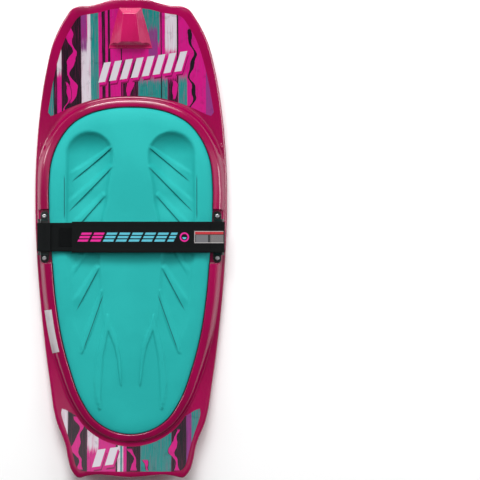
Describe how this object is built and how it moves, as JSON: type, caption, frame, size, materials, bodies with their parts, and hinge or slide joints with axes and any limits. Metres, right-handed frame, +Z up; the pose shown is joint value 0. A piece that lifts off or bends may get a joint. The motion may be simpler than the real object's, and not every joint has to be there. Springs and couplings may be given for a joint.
{
  "type": "kneeboard",
  "caption": "Moulded kneeboard with a contoured foam knee pad, a two-part thigh strap on side brackets, a nose tow hook and crescent fins under the hull.",
  "frame": {"origin": "under the middle of the board, on the plane that the flat of the hull stands on", "axes": "+X to the rider's right, +Y towards the nose, +Z up through the pad"},
  "size_m": [0.513, 1.2699, 0.1157],
  "materials": {
    "deck": "gloss",
    "hull": "matte",
    "core": "cut foam",
    "pad": "matte foam",
    "graphic": "gloss print",
    "label": "satin",
    "bracket": "gloss",
    "steel": "brushed",
    "brass": "turned",
    "plug": "matte",
    "webbing": "woven",
    "padding": "matte",
    "tape": "pile",
    "woven_label": "woven"
  },
  "bodies": {
    "board": {"deck_shell": "deck", "hull_shell": "hull", "foam_core": "core", "knee_pad": "pad", "tow_hook": "deck", "nose_graphic": "graphic", "tail_graphic": "graphic", "serial_label": "label", "fill_plug": "plug", "vent_plug": "plug", "strap_bracket_left": "bracket", "strap_bracket_right": "bracket", "bracket_screw_left_front": "steel", "bracket_washer_left_front": "steel", "bracket_insert_left_front": "brass", "bracket_screw_left_rear": "steel", "bracket_washer_left_rear": "steel", "bracket_insert_left_rear": "brass", "bracket_screw_right_front": "steel", "bracket_washer_right_front": "steel", "bracket_insert_right_front": "brass", "bracket_screw_right_rear": "steel", "bracket_washer_right_rear": "steel", "bracket_insert_right_rear": "brass"},
    "strap_long": {"strap_long_webbing": "webbing", "strap_long_padding": "padding", "strap_long_hook_tape": "tape", "strap_label": "woven_label"},
    "strap_short": {"strap_short_webbing": "webbing", "strap_short_loop_tape": "tape"}
  },
  "joints": [
    {"name": "strap_long_open", "type": "hinge", "parent": "board", "child": "strap_long", "pos_m": [0.243, 0.005, 0.05], "axis": [0, 1, 0], "range_deg": [0, 165]},
    {"name": "strap_short_open", "type": "hinge", "parent": "board", "child": "strap_short", "pos_m": [-0.243, 0.005, 0.05], "axis": [0, -1, 0], "range_deg": [0, 150]}
  ],
  "couplings": [
    {"joint": "strap_short_open", "follows": "strap_long_open", "ratio": 0.909}
  ]
}
